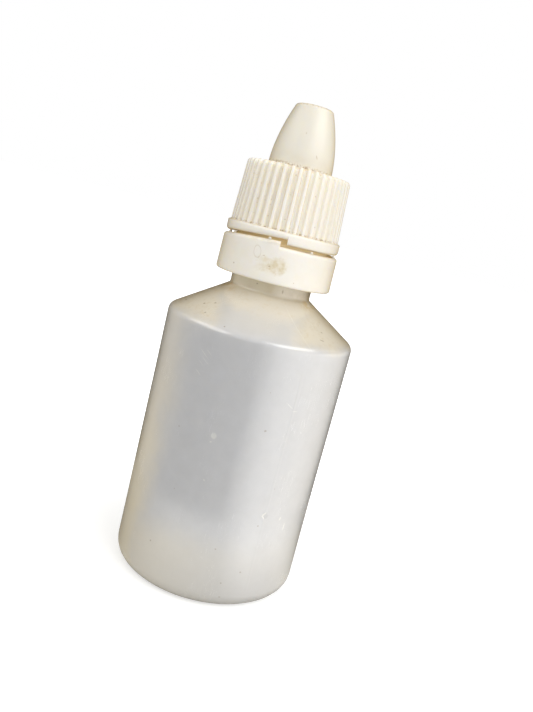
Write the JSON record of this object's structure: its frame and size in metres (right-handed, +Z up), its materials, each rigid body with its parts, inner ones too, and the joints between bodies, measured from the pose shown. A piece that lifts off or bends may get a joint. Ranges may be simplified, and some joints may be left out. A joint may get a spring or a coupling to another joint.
{
  "type": "eye drop bottle",
  "caption": "Small round squeeze bottle with a conical shoulder, a dropper insert, a ribbed screw cap with a tip cover, and a tamper ring.",
  "frame": {"origin": "centre of the base, in the plane that the bottle stands on", "axes": "+Z up the bottle's axis to the tip of the cap, -Y to the pictured side"},
  "size_m": [0.027, 0.027, 0.0685],
  "materials": {
    "bottle_plastic": "translucent natural polyethylene, satin",
    "insert_plastic": "translucent natural polyethylene, satin",
    "cap_plastic": "opaque white plastic, a little yellowed, satin",
    "ring_plastic": "opaque white plastic, a little yellowed, satin"
  },
  "bodies": {
    "bottle": {"bottle": "bottle_plastic", "dropper_insert": "insert_plastic"},
    "tamper_ring": {"tamper_ring": "ring_plastic"},
    "cap": {"cap": "cap_plastic"}
  },
  "joints": [
    {"name": "cap_turn", "type": "hinge", "parent": "bottle", "child": "tamper_ring", "pos_m": [0, 0, 0.04995], "axis": [0, 0, 1], "range_deg": [0, 2521]},
    {"name": "cap_rise", "type": "slide", "parent": "tamper_ring", "child": "cap", "axis": [0, 0, 1], "range_m": [0, 0.0175]}
  ],
  "couplings": [
    {"joint": "cap_turn", "follows": "cap_rise", "rad_per_m": 2513.3}
  ]
}
